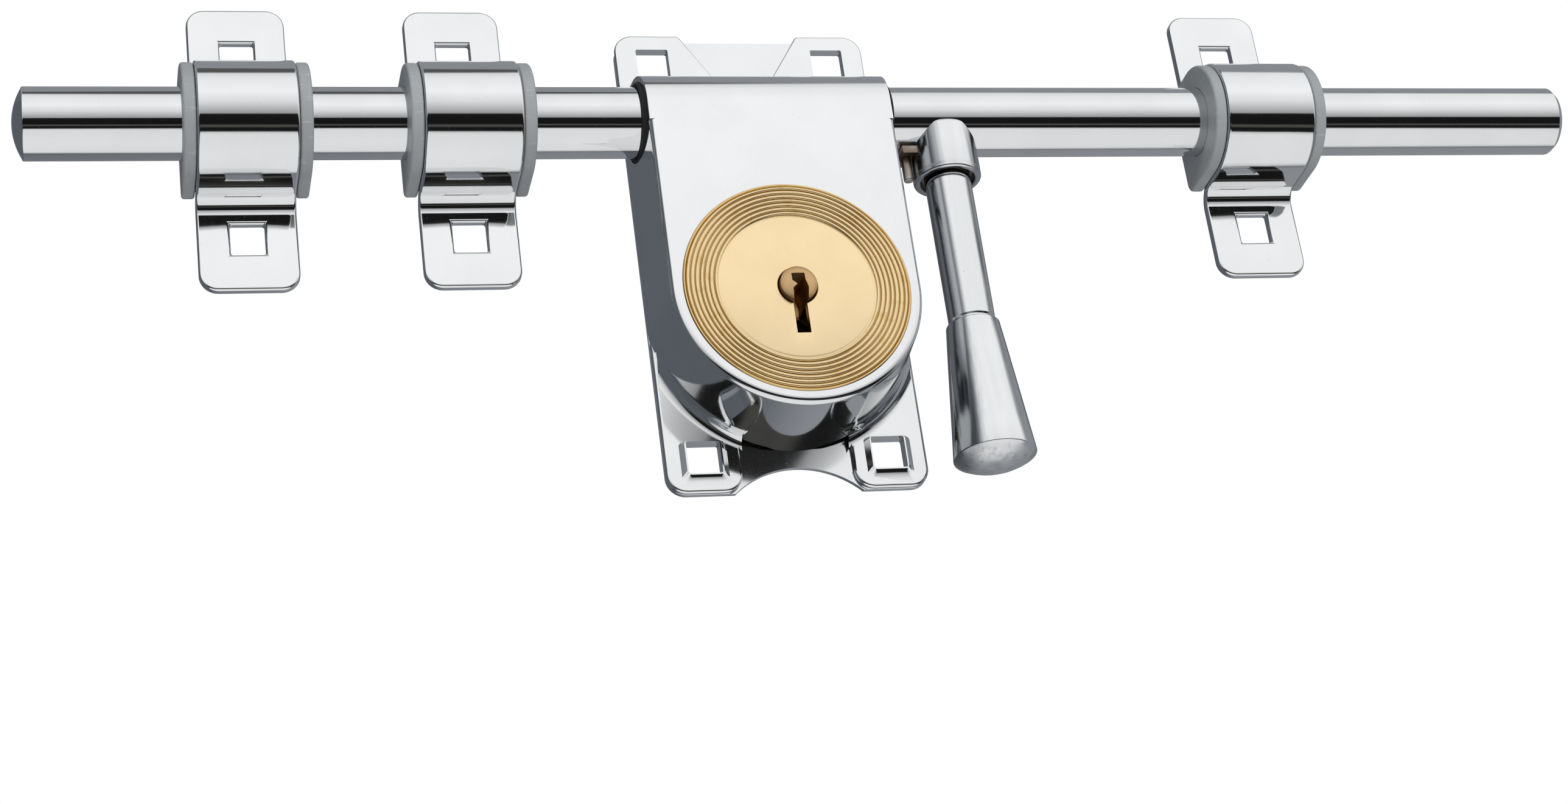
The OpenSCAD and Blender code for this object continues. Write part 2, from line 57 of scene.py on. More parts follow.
# Places are given as (x, height above the door, z) in millimetres; the front faces -Y.
rodRise = 10.5
keyDrop = 41.6


def at(x, height, z):
    return Vector((x, -height, z)) / 1000


def mm(value):
    return value / 1000


def deselectAll():
    if bpy.context.object and bpy.context.object.mode != "OBJECT":
        bpy.ops.object.mode_set(mode="OBJECT")
    bpy.ops.object.select_all(action="DESELECT")


def pick(piece):
    deselectAll()
    piece.select_set(True)
    bpy.context.view_layer.objects.active = piece


def finishWith(piece, kind, **settings):
    pick(piece)
    modifier = piece.modifiers.new(kind.title(), kind)
    for name, value in settings.items():
        setattr(modifier, name, value)
    bpy.ops.object.modifier_apply(modifier=modifier.name)


def settle(piece):
    # the object ends at the origin, with its place in its mesh
    pick(piece)
    bpy.ops.object.transform_apply(location=True, rotation=True, scale=True)


def smooth(piece, degrees=32):
    pick(piece)
    bpy.ops.object.shade_smooth_by_angle(angle=math.radians(degrees))


def smoothFlat(piece, degrees=30):
    # large faces keep their own direction beside eased edges
    smooth(piece, degrees)
    finishWith(piece, "WEIGHTED_NORMAL", weight=60, keep_sharp=True)


def place(piece, look, slot, body, *replaced):
    piece.data.materials.clear()
    piece.data.materials.append(look)
    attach(piece, body)
    if replaced:
        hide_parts(*replaced)


def trace(name, spots):
    # one vertex is set at the first spot and extruded from spot to spot
    deselectAll()
    bpy.ops.mesh.primitive_plane_add(size=0.001, location=(0, 0, 0))
    piece = bpy.context.object
    piece.name = name
    bpy.ops.object.mode_set(mode="EDIT")
    bpy.ops.mesh.select_all(action="SELECT")
    bpy.ops.mesh.merge(type="CENTER")
    bpy.ops.mesh.select_all(action="SELECT")
    bpy.ops.transform.translate(value=spots[0])
    for before, after in zip(spots, spots[1:]):
        bpy.ops.mesh.extrude_vertices_move(TRANSFORM_OT_translate={"value": after - before})
    bpy.ops.mesh.select_all(action="SELECT")
    return piece


def tidyFaces(gap=0.002):
    bpy.ops.mesh.select_all(action="SELECT")
    bpy.ops.mesh.remove_doubles(threshold=mm(gap))
    bpy.ops.mesh.normals_make_consistent(inside=False)
    bpy.ops.object.mode_set(mode="OBJECT")


def turned(name, profile, centre, axis, side, steps=128):
    # turns a profile of (radius, place along the axis) once round, as on a lathe
    piece = trace(name, [centre + side * mm(radius) + axis * mm(along) for radius, along in profile])
    bpy.ops.mesh.spin(steps=steps, angle=math.tau, center=centre, axis=axis)
    tidyFaces()
    return piece


def slab(name, spots, along):
    # fills a closed outline and extrudes it
    piece = trace(name, spots)
    bpy.ops.mesh.edge_face_add()
    bpy.ops.mesh.select_all(action="SELECT")
    bpy.ops.mesh.extrude_region_move(TRANSFORM_OT_translate={"value": along})
    tidyFaces()
    return piece


def front(x0, x1, z0, z1, n0, n1, corner=0.0, name="block"):
    # a block seen from the front, between two heights above the door
    spots = [at(x, n0, z) for x, z in roundedBox(x0, x1, z0, z1, corner)]
    return slab(name, spots, at(0, n1 - n0, 0))


def bar(centre, axis, radius, length, name="bar", steps=128):
    return turned(name, [(0, 0), (radius, 0), (radius, length), (0, length)], centre, axis,
                  Vector((0, 0, 1)) if abs(axis.z) < 0.5 else Vector((1, 0, 0)), steps)


def pickEdges(piece, test):
    # opens the piece for editing with only the edges chosen whose two ends pass the test
    pick(piece)
    bpy.ops.object.mode_set(mode="EDIT")
    bpy.ops.mesh.select_mode(type="EDGE")
    bpy.ops.mesh.select_all(action="DESELECT")
    bpy.ops.object.mode_set(mode="OBJECT")
    for e in piece.data.edges:
        e.select = test(*(piece.data.vertices[i].co for i in e.vertices))
    bpy.ops.object.mode_set(mode="EDIT")


def combine(piece, other, operation):
    finishWith(piece, "BOOLEAN", object=other, operation=operation, solver="EXACT")
    bpy.data.objects.remove(other)
    return piece


def curve(cx, cy, radius, start, end, count=8):
    turn = [math.radians(start + (end - start) * i / count) for i in range(count + 1)]
    return [(cx + radius * math.cos(a), cy + radius * math.sin(a)) for a in turn]


def roundedBox(x0, x1, y0, y1, corner, count=8):
    if not corner:
        return [(x0, y0), (x1, y0), (x1, y1), (x0, y1)]
    c = corner
    return (curve(x1 - c, y0 + c, c, -90, 0, count) + curve(x1 - c, y1 - c, c, 0, 90, count)
            + curve(x0 + c, y1 - c, c, 90, 180, count) + curve(x0 + c, y0 + c, c, 180, 270, count))


def copyTo(piece, name, shift):
    # a copy with its own mesh, moved along
    pick(piece)
    bpy.ops.object.duplicate()
    copied = bpy.context.object
    copied.name = name
    bpy.ops.object.mode_set(mode="EDIT")
    bpy.ops.mesh.select_all(action="SELECT")
    bpy.ops.transform.translate(value=shift)
    bpy.ops.object.mode_set(mode="OBJECT")
    return copied


def arc(centreRadius, centreAlong, radius, start, end, count=6):
    # points of an arc in a profile, angles in degrees from the outward side towards the axis direction
    angles = [math.radians(start + (end - start) * i / count) for i in range(count + 1)]
    return [(centreRadius + radius * math.cos(a), centreAlong + radius * math.sin(a)) for a in angles]


def dome(rim, foot, bulge, count=8):
    # a shallow dome from its rim to the axis; bulge is negative when it swells the other way
    ball = (rim * rim + bulge * bulge) / (2 * abs(bulge))
    top = math.asin(min(1, rim / ball))
    rise = 1 if bulge > 0 else -1
    points = []
    for i in range(count + 1):
        a = top * (1 - i / count)
        points.append((ball * math.sin(a), foot + rise * (ball * math.cos(a) - ball + abs(bulge))))
    return points


def copyOf(node, name, bevel=0.0, segments=2, edge=40):
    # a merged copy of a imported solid, with its flat triangles joined and its edges eased
    deselectAll()
    source = frame["nodes"][node]
    source.select_set(True)
    bpy.context.view_layer.objects.active = source
    bpy.ops.object.duplicate()
    piece = bpy.context.object
    piece.name = name
    for key in [k for k in piece.keys() if k.startswith("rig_")]:
        del piece[key]
    bpy.ops.object.parent_clear(type="CLEAR_KEEP_TRANSFORM")
    bpy.ops.mesh.customdata_custom_splitnormals_clear()
    bpy.ops.object.mode_set(mode="EDIT")
    bpy.ops.mesh.select_all(action="SELECT")
    bpy.ops.mesh.remove_doubles(threshold=mm(0.003))
    bpy.ops.mesh.dissolve_limited(angle_limit=math.radians(0.6))
    bpy.ops.object.mode_set(mode="OBJECT")
    if bevel:
        finishWith(piece, "BEVEL", width=mm(bevel), segments=segments, limit_method="ANGLE",
                   angle_limit=math.radians(edge), use_clamp_overlap=True, miter_outer="MITER_ARC",
                   harden_normals=False)
    smooth(piece)
    return piece


class Signal:
    # wraps a value socket, so that shader maths reads as an expression
    def __init__(self, look, socket):
        self.look, self.socket = look, socket

    def math(self, operation, *others, swap=False):
        values = [self, *others]
        if swap:
            values = [others[0], self]
        return self.look.node("ShaderNodeMath", {"operation": operation}, *values)

    def __add__(self, other):
        return self.math("ADD", other)

    __radd__ = __add__

    def __sub__(self, other):
        return self.math("SUBTRACT", other)

    def __rsub__(self, other):
        return self.math("SUBTRACT", other, swap=True)

    def __mul__(self, other):
        return self.math("MULTIPLY", other)

    __rmul__ = __mul__

    def __truediv__(self, other):
        return self.math("DIVIDE", other)

    def __pow__(self, other):
        return self.math("POWER", other)

    def __abs__(self):
        return self.math("ABSOLUTE")

    def over(self, edge, soft):
        # rises from 0 to 1 as the value passes the edge
        return self.look.node("ShaderNodeMapRange", {"clamp": True, "interpolation_type": "SMOOTHSTEP"},
                              self, edge - soft, edge + soft, 0.0, 1.0)


class Nodes:
    # a node tree, whose nodes all come from node()
    def __init__(self, tree):
        self.tree = tree

    def node(self, kind, settings, *values, output=0, **named):
        made = self.tree.nodes.new(kind)
        for name, value in settings.items():
            if name == "stops":
                ramp = made.color_ramp
                for i, (spot, colour) in enumerate(value):
                    stop = ramp.elements[i] if i < 2 else ramp.elements.new(spot)
                    stop.position, stop.color = spot, (*colour, 1)
            else:
                setattr(made, name, value)
        sockets = dict(enumerate(values))
        for where, value in [*sockets.items(), *((n.replace("_", " "), v) for n, v in named.items())]:
            socket = made.inputs[where]
            if isinstance(value, Signal):
                self.tree.links.new(value.socket, socket)
            elif value is not None:
                socket.default_value = value
        if output is None:
            return made
        return Signal(self, made.outputs[output])

    def axes(self, where):
        split = self.node("ShaderNodeSeparateXYZ", {}, where, output=None)
        return [Signal(self, split.outputs[i]) for i in range(3)]

    def mix(self, factor, first, second):
        made = self.node("ShaderNodeMix", {"data_type": "RGBA"}, output=None)
        for where, value in ((0, factor), (6, first), (7, second)):
            if isinstance(value, Signal):
                self.tree.links.new(value.socket, made.inputs[where])
            else:
                made.inputs[where].default_value = value if where == 0 else (*value, 1)
        return Signal(self, made.outputs[2])


class Look(Nodes):
    # one finish of a surface
    def __init__(self, name, **constants):
        self.material = bpy.data.materials.new(name)
        self.material.use_nodes = True
        super().__init__(self.material.node_tree)
        self.shader = self.tree.nodes["Principled BSDF"]
        for socket, value in constants.items():
            self.shader.inputs[socket.replace("_", " ")].default_value = value
        self.coordinates = self.node("ShaderNodeTexCoord", {}, output="Object")
        self.x, self.y, self.z = self.axes(self.coordinates)

    def stretched(self, scale, turn=(0, 0, 0), move=(0, 0, 0)):
        return self.node("ShaderNodeMapping", {}, self.coordinates, move, turn, scale)

    def noise(self, scale, detail=3.0, rough=0.55, where=None):
        return self.node("ShaderNodeTexNoise", {}, output="Fac", Vector=where or self.coordinates,
                         Scale=scale, Detail=detail, Roughness=rough)

    def specks(self, scale, size, where=None):
        # small round dots, as dust, pits or pores
        spread = self.node("ShaderNodeTexVoronoi", {}, output="Distance", Vector=where or self.coordinates, Scale=scale)
        return 1 - spread.over(size, size * 0.5)

    def colour(self, value):
        self.tree.links.new(value.socket, self.shader.inputs["Base Color"])

    def rough(self, value):
        self.tree.links.new(value.socket, self.shader.inputs["Roughness"])

    def relief(self, value, strength=0.3, depth=0.05):
        bump = self.node("ShaderNodeBump", {}, output="Normal", Strength=strength, Distance=mm(depth), Height=value)
        self.tree.links.new(bump.socket, self.shader.inputs["Normal"])


def chrome(name, tint=(0.86, 0.875, 0.89), grain=(60, 60, 60), haze=0.035, ripple=0.02, inside=0.0):
    # bright plate: faint cloudiness, polishing lines along one way, a few pits and dust
    look = Look(name, Metallic=1.0)
    cloud = look.noise(70, 4)
    lines = look.noise(1, 2, where=look.stretched(grain))
    pits = look.specks(900, 0.06)
    dust = look.specks(2600, 0.05) * look.noise(220, 2).over(0.56, 0.06)
    base = look.mix(cloud.over(0.5, 0.3), tint, tuple(c * 0.95 for c in tint))
    base = look.mix(pits * 0.5, base, (0.42, 0.43, 0.45))
    if inside:  # painted shade darkens the sheet within the drum, where the closed case keeps the light out
        reach = (look.x * look.x + (look.z + mm(keyDrop)) ** 2) ** 0.5
        drumShade = 1 - reach.over(inside, 0.0003)
        base = look.mix(drumShade * 0.85, base, (0.1, 0.095, 0.09))
    look.colour(look.mix(dust * 0.35, base, (0.55, 0.56, 0.58)))
    look.rough(haze + cloud * 0.03 + lines * 0.03 + pits * 0.2 + dust * 0.15)
    look.relief(cloud * ripple + lines * 0.02 - pits * 0.1, 0.25, 0.03)
    return look.material


looks = {
    # the plate's inside gives the reach of the painted shade within the drum
    "plate": {"tint": (0.87, 0.885, 0.9), "grain": (900, 40, 60), "haze": 0.09, "ripple": 0.1, "inside": 0.0236},
    "shell": {"tint": (0.88, 0.89, 0.9), "grain": (500, 500, 40), "haze": 0.05, "ripple": 0.15},
    "rod": {"tint": (0.86, 0.87, 0.88), "grain": (1400, 30, 30), "haze": 0.03, "ripple": 0.01},
    "strap": {"tint": (0.88, 0.89, 0.9), "grain": (800, 30, 30), "haze": 0.03, "ripple": 0.03},
}
plateLook = chrome("chromePlate", **looks["plate"])
shellLook = chrome("chromeShell", **looks["shell"])
rodLook = chrome("chromeRod", **looks["rod"])
strapLook = chrome("chromeStrap", **looks["strap"])


def turnedSteel():
    # satin plate on turned steel: fine rings round the bar, streaks along it, small marks
    look = Look("turnedSteel", Metallic=1.0, Anisotropic=0.55)
    rings = look.noise(1, 4, where=look.stretched((60, 60, 5200)))
    streaks = look.noise(1, 3, where=look.stretched((700, 700, 4)))
    cloud = look.noise(90, 3)
    marks = look.specks(700, 0.08) * look.noise(130, 2).over(0.55, 0.05)
    ends = (look.z * -1).over(0.0748, 0.0004) + look.z.over(-0.0131, 0.0005) * (1 - look.z.over(-0.0125, 0.0003))
    pitted = ends * look.noise(700, 4).over(0.56, 0.06)
    base = look.mix(streaks.over(0.5, 0.2), (0.79, 0.805, 0.82), (0.84, 0.85, 0.86))
    base = look.mix(pitted * 0.5, base, (0.5, 0.52, 0.56))
    # painted shade: the side by the case is darkened, with streaks along it
    across = look.x - 0.0366
    lines = look.noise(1, 2, where=look.stretched((2200, 2200, 2)))
    wide = 0.0046 + (look.z * -1 - 0.046).math("MAXIMUM", 0.0) * 0.12
    darkening = 1 - (across / wide + lines * 0.3).over(-0.42, 0.2)
    base = look.mix(darkening * 0.62, base, (0.16, 0.175, 0.19))
    # painted shade darkens the far edge of the bar a little
    base = look.mix((across / wide).over(0.86, 0.12) * 0.45, base, (0.2, 0.21, 0.23))
    # the stem and the boss are darkened brown within the boss's recess
    reach = (across * across + (look.y + 0.0105) ** 2) ** 0.5
    recessDarkening = (1 - reach.over(0.0056, 0.0003)) * look.z.over(-0.0137, 0.0002) * (1 - look.z.over(-0.0122, 0.0003))
    base = look.mix(recessDarkening * 0.8, base, (0.15, 0.125, 0.105))
    look.colour(look.mix(marks * 0.4, base, (0.4, 0.41, 0.43)))
    look.rough(0.13 + rings * 0.03 + cloud * 0.02 + marks * 0.2 + ends * 0.16)
    look.relief(rings * 0.12 + streaks * 0.03 + pitted * 0.5 - marks, 0.12, 0.02)
    return look.material


def turnedBrass(name, bright, darkening, valley, centre, ringScale=0.0, roughness=0.22, edge=0.0155):
    # lacquered brass: cutter rings round the centre, painted shade in the low places between the rings and on the outer
    # rim, tarnish outside the field
    look = Look(name, Metallic=1.0)
    fromX, fromZ = look.x - centre[0], look.z - centre[2]
    radius = (fromX * fromX + fromZ * fromZ) ** 0.5
    cutter = (radius * 9000).math("SINE")
    # painted shade darkens the low places between the rings
    low = (1 - (look.y * -1000).over(valley, 0.08)) * radius.over(edge, 0.0002)
    cloud = look.noise(140, 4)
    fine = look.noise(2400, 2)
    tarnish = look.noise(420, 3).over(0.62, 0.08) * 0.45
    middle = tuple(0.45 * b + 0.55 * d for b, d in zip(bright, darkening))
    base = look.mix(cloud.over(0.5, 0.25) * 0.12, bright, middle)
    base = look.mix(radius.over(edge, 0.0003) * 0.4, base, middle)
    base = look.mix(low * 0.6, base, tuple(c * 0.6 for c in darkening))
    # painted shade darkens the outer rim
    base = look.mix(radius.over(0.02145, 0.0002) * 0.5, base, darkening)
    look.colour(look.mix(tarnish * radius.over(edge, 0.0006), base, darkening))
    look.rough(roughness + cloud * 0.08 + fine * 0.05 + low * 0.15)
    look.relief(cutter * ringScale + fine * 0.4 + cloud * 0.3, 0.2, 0.02)
    return look.material


def stampedMetal(name, light, dark, roughness):
    # unpolished inner work: rolling lines, oil and dull patches
    look = Look(name, Metallic=1.0)
    rolled = look.noise(1, 3, where=look.stretched((30, 30, 1500)))
    patches = look.noise(160, 4)
    spots = look.specks(500, 0.1)
    base = look.mix(patches.over(0.52, 0.16), light, dark)
    look.colour(look.mix(spots * 0.4, base, tuple(c * 0.5 for c in dark)))
    look.rough(roughness + patches * 0.15 - spots * 0.05)
    look.relief(rolled * 0.6 + patches * 0.3 - spots, 0.3, 0.03)
    return look.material


def mouldedPlastic(name, light, dark, roughness, scuffs, gloss=0.45):
    # satin moulded plastic: fine pores, flow clouds, scuffed pale marks
    look = Look(name, Metallic=0.0, Specular_IOR_Level=gloss)
    flow = look.noise(80, 3)
    pores = look.noise(3600, 2)
    scuff = look.noise(1, 3, where=look.stretched((260, 260, 1800))).over(0.66, 0.05) * scuffs
    base = look.mix(flow.over(0.5, 0.3), light, dark)
    look.colour(look.mix(scuff, base, tuple(min(1, c * 1.5 + 0.04) for c in light)))
    look.rough(roughness + pores * 0.1 + flow * 0.06 - scuff * 0.1)
    look.relief(pores * 0.7 + flow * 0.3, 0.25, 0.03)
    return look.material


handleLook = turnedSteel()
brassLook = turnedBrass("brassFace", (0.99, 0.785, 0.475), (0.7, 0.46, 0.15), 19.83, (0, 0, -0.0416), 0.02, 0.2)
barrelLook = turnedBrass("brassBarrel", (0.66, 0.44, 0.22), (0.34, 0.2, 0.09), 20.9, (0, 0, -0.0416), 0.3, 0.28, 0.003)
workBrass = stampedMetal("brassWork", (0.72, 0.54, 0.26), (0.5, 0.36, 0.16), 0.3)
workSteel = stampedMetal("steelWork", (0.56, 0.57, 0.58), (0.36, 0.36, 0.37), 0.28)
catchLook = stampedMetal("bronzeCatch", (0.52, 0.49, 0.45), (0.26, 0.2, 0.16), 0.3)
bushLook = mouldedPlastic("greyNylon", (0.265, 0.28, 0.29), (0.225, 0.24, 0.25), 0.36, 0.3)
linerLook = mouldedPlastic("blackLiner", (0.02, 0.02, 0.021), (0.012, 0.012, 0.013), 0.45, 0.1, 0.12)
print("materials made")

rod = {"radius": 7.0, "left": -144.0, "right": 172.0, "dome": 1.8, "rimEase": 0.35, "endChamfer": 1.0,
       "grooves": (-21.6, 18.4), "grooveWidth": 4.6, "grooveDepth": 2.0, "grooveEase": 0.2, "steps": 160}


def makeRod():
    r, foot = rod["radius"], rod["left"] + rod["dome"]
    profile = [(radius, along) for radius, along in reversed(dome(r - rod["rimEase"], foot, -rod["dome"]))]
    profile += arc(r - rod["rimEase"], foot + rod["rimEase"], rod["rimEase"], -60, 0, 4)
    for middle in rod["grooves"]:
        a, b = middle - rod["grooveWidth"] / 2, middle + rod["grooveWidth"] / 2
        e, low = rod["grooveEase"], r - rod["grooveDepth"]
        profile += [(r, a - e), (r - e, a), (low + e, a), (low, a + e), (low, b - e), (low + e, b), (r - e, b), (r, b + e)]
    end, c = rod["right"], rod["endChamfer"]
    profile += [(r, end - c - 0.15), (r - 0.1, end - c), (r - c + 0.1, end - 0.12), (r - c - 0.1, end), (0, end)]
    piece = turned("rodBar", profile, at(0, rodRise, 0), Vector((1, 0, 0)), Vector((0, -1, 0)), rod["steps"])
    smooth(piece)
    place(piece, rodLook, "chrome_rod", "rod", "rod")


makeRod()
print("rod made")

handle = {"x": 36.6, "stem": 4.6, "stemTop": -7.6, "stemFoot": -46.0, "neck": 5.3, "foot": 8.1,
          "gripLength": 28.4, "bulge": 2.4, "ease": 0.3, "steps": 160,
          "boss": {"radius": 6.8, "top": -2.9, "crown": 0.7, "foot": -13.8, "ease": 0.55, "rim": 1.3, "recess": 1.2,
                   "bore": 4.65, "seat": 7.03}}


def makeHandle():
    h, up, side = handle, Vector((0, 0, 1)), Vector((1, 0, 0))
    centre = at(h["x"], rodRise, 0)
    e = h["ease"]
    stem = [(0, h["stemTop"] + 4), (3, h["stemTop"] + 4), (3, h["stemTop"]), (h["stem"] - 0.2, h["stemTop"]),
            (h["stem"], h["stemTop"] - 0.2), (h["stem"], h["stemFoot"] + 0.9), (h["stem"] - 0.25, h["stemFoot"] + 0.55),
            (h["stem"] - 0.25, h["stemFoot"] - 0.05), (3.6, h["stemFoot"] - 0.05), (3.6, h["stemFoot"] - 6), (0, h["stemFoot"] - 6)]
    piece = turned("handleStem", stem, centre, up, side, h["steps"])
    smooth(piece)
    place(piece, handleLook, "steel_handle", "rod", "handle_stem")
    low = h["stemFoot"] - h["gripLength"]
    slope = (h["foot"] - h["neck"]) / h["gripLength"]
    grip = [(0, h["stemFoot"] - 6.2), (3.65, h["stemFoot"] - 6.2), (3.65, h["stemFoot"] - 0.3), (h["stem"] - 0.1, h["stemFoot"] - 0.1)]
    grip += arc(h["neck"] - 0.35, h["stemFoot"] - 0.4, 0.35, 90, 0, 4)
    grip += [(h["neck"] + slope * 6, h["stemFoot"] - 6), (h["foot"] - slope * 6, low + 6)]
    grip += arc(h["foot"] - e, low + e, e, 0, -70, 4)
    grip += [point for point in dome(h["foot"] - e * 0.66, low, -h["bulge"] * 0.96)]
    piece = turned("handleGrip", grip, centre, up, side, h["steps"])
    smooth(piece, 40)
    place(piece, handleLook, "steel_handle", "rod", "handle_grip")
    b = h["boss"]
    r, e, rim = b["radius"], b["ease"], b["radius"] - b["rim"]
    boss = [(0, b["top"]), (r - b["crown"], b["top"])] + arc(r - b["crown"], b["top"] - b["crown"], b["crown"], 80, 0, 6)
    boss += arc(r - e, b["foot"] + e, e, 0, -90, 5)
    boss += [(rim + 0.2, b["foot"]), (rim, b["foot"] + 0.15), (rim - 0.1, b["foot"] + b["recess"] - 0.2),
             (rim - 0.3, b["foot"] + b["recess"]), (b["bore"], b["foot"] + b["recess"]), (b["bore"], h["stemTop"] + 2)]
    boss += [(0, h["stemTop"] + 2), (0, b["top"])]
    piece = turned("handleBoss", boss, centre, up, side, h["steps"])
    combine(piece, bar(at(h["x"] - 12, rodRise, 0), side, b["seat"], 24, steps=rod["steps"]), "DIFFERENCE")
    smooth(piece)
    place(piece, handleLook, "steel_handle", "rod", "handle_boss")
    piece = copyOf("catch_tab", "catchTab", 0.3, 3)
    place(piece, catchLook, "bronze_catch", "rod", "catch_tab")
    piece = copyOf("catch_pin", "catchPin", 0.25, 3)
    place(piece, catchLook, "bronze_catch", "rod", "catch_pin")


makeHandle()
print("handle made")

case = {"front": 19.7, "sheet": 1.2, "frontHalf": 24.5, "baseHalf": 25.8, "rim": 1.3, "cover": 9.2,
        "plate": 1.0, "earFront": 2.2, "earTop": 25.6, "earBottom": -76.0, "earCorner": 3.8, "earWidth": 14.8,
        "earEase": 0.8, "earBend": 3.0, "rimTop": -4.5, "notchTop": 12.3, "notchFoot": 4.7, "notchZ": 13.6,
        "footBend": 2.35, "holeSide": 6.6, "holeCorner": 0.35, "holeX": 18.2, "holeTop": 19.0, "holeBottom": -69.0,
        "faceHole": 22.25, "bridgeTop": 24.6, "hollowRise": 5.0, "hollowHalf": 12.6, "linerOut": 0.9, "linerWidth": 4.2,
        "seamFrom": 3.6, "seamTo": 11.2, "seamHeight": 1.25, "padRim": 0.3, "padRoot": 0.4,
        "padRise": 0.7, "padCorner": 0.9, "padSide": 1.6, "padBelow": 2.0, "padEase": 0.25}


def wallAt(height):
    return case["frontHalf"] + (case["baseHalf"] - case["frontHalf"]) * (case["front"] - height) / (case["front"] - case["plate"])


def makeTub():
    # the wall's section is spun round the key's axis, and both ends are drawn up beside the rod
    c, keyZ = case, -keyDrop
    middle = c["frontHalf"] - c["rim"] + 0.09
    section = [(21.0, c["front"] - c["sheet"]), (21.0, c["front"]), (middle, c["front"])]
    section += curve(middle, c["front"] - c["rim"], c["rim"], 82, -4, 9)
    section += [(wallAt(h), h) for h in (14, 10, 6, 4.6)] + [(wallAt(c["plate"]), c["plate"])]
    section += [(wallAt(c["plate"]) - c["sheet"], c["plate"]), (wallAt(18) - c["sheet"], 18), (wallAt(18) - c["sheet"] - 0.3, 18.5)]
    tub = trace("caseShell", [at(-u, h, keyZ) for u, h in section + section[:1]])
    bpy.ops.mesh.spin(steps=120, angle=math.pi, center=at(0, 0, keyZ), axis=(0, 1, 0))
    bpy.ops.mesh.select_all(action="SELECT")
    bpy.ops.mesh.remove_doubles(threshold=mm(0.002))
    bpy.ops.object.mode_set(mode="OBJECT")
    if min(v.co.z for v in tub.data.vertices) > mm(keyZ - 10):
        raise RuntimeError("the wall was spun the wrong way")
    for side in (-1, 1):
        pickEdges(tub, lambda a, b: all(abs(v.z - mm(keyZ)) < 1e-6 and v.x * side > 0 for v in (a, b)))
        bpy.ops.mesh.extrude_region_move(TRANSFORM_OT_translate={"value": (0, 0, mm(9.0 - keyZ))})
        bpy.ops.mesh.edge_face_add()
    bpy.ops.mesh.select_mode(type="VERT")
    tidyFaces()
    combine(tub, bar(at(-40, rodRise, 0), Vector((1, 0, 0)), c["cover"] - c["sheet"], 80), "DIFFERENCE")
    combine(tub, front(-40, 40, c["rimTop"], 20, rodRise, 30), "DIFFERENCE")
    return tub


def makeCover():
    # the sheet runs up from the front, over the rod and back to the upper ears
    c = case
    r, b = c["cover"], c["earBend"]
    edge = [(c["front"], c["rimTop"])] + curve(rodRise, 0, r, 0, 90, 24)
    edge += [(c["earFront"] + b, r)] + curve(c["earFront"] + b, r + b, b, -90, -180, 8)
    edge += [(c["plate"] + 0.05, r + b), (c["plate"] + 0.05, r - c["sheet"]), (rodRise, r - c["sheet"])]
    edge += curve(rodRise, 0, r - c["sheet"], 88, 0, 24) + [(c["front"] - c["sheet"], c["rimTop"])]
    cover = slab("cover", [at(-30, h, z) for h, z in edge], (mm(60), 0, 0))
    sides = [(-wallAt(0), 0), (wallAt(0), 0), (wallAt(20), 20), (-wallAt(20), 20)]
    combine(cover, slab("sides", [at(x, h, -20) for x, h in sides], (0, 0, mm(50))), "INTERSECT")
    low = mm(c["rimTop"]) + 1e-5  # its lower end stays square, flush with the wall below
    pickEdges(cover, lambda a, b: max(a.z, b.z) > low and all(abs(v.x) > mm(wallAt(-v.y * 1000) - 0.01) for v in (a, b)))
    bpy.ops.mesh.bevel(offset=mm(0.18), segments=2, affect="EDGES")
    bpy.ops.mesh.select_mode(type="VERT")
    tidyFaces()
    return cover


def earOutlines():
    c = case
    x, r = c["baseHalf"], c["earCorner"]
    top = [(-x, 6), *[p for p in curve(-x + r, c["earTop"] - r, r, 180, 90)], (-c["notchTop"], c["earTop"]),
           (-c["notchFoot"], c["notchZ"]), (c["notchFoot"], c["notchZ"]), (c["notchTop"], c["earTop"]),
           *curve(x - r, c["earTop"] - r, r, 90, 0), (x, 6)]
    left = [(-x, -40), *curve(-x + r, c["earBottom"] + r, r, 180, 270),
            *curve(-x + c["earWidth"] - r, c["earBottom"] + r, r, -90, 0), (-x + c["earWidth"], -55)]
    right = [(-a, b) for a, b in reversed(left)]
    return top, left, right


def pad(piece, x, z):
    # the sheet stands up round a hole and falls away at its sides and below
    c = case
    h, low = c["holeSide"] / 2 + c["padRim"], c["earFront"] - c["padRoot"]
    block = front(x - h, x + h, z - h, z + h, low, c["earFront"] + c["padRise"], c["padCorner"], "pad")
    pickEdges(block, lambda a, b: max(-a.y, -b.y) < mm(low + 0.01))
    bpy.ops.transform.resize(value=(1 + c["padSide"] / h, 1, 1 + c["padBelow"] / (2 * h)), center_override=at(x, 0, z + h))
    bpy.ops.mesh.select_mode(type="VERT")
    tidyFaces()
    finishWith(block, "BEVEL", width=mm(c["padEase"]), segments=3, limit_method="ANGLE", angle_limit=math.radians(25))
    combine(piece, block, "UNION")


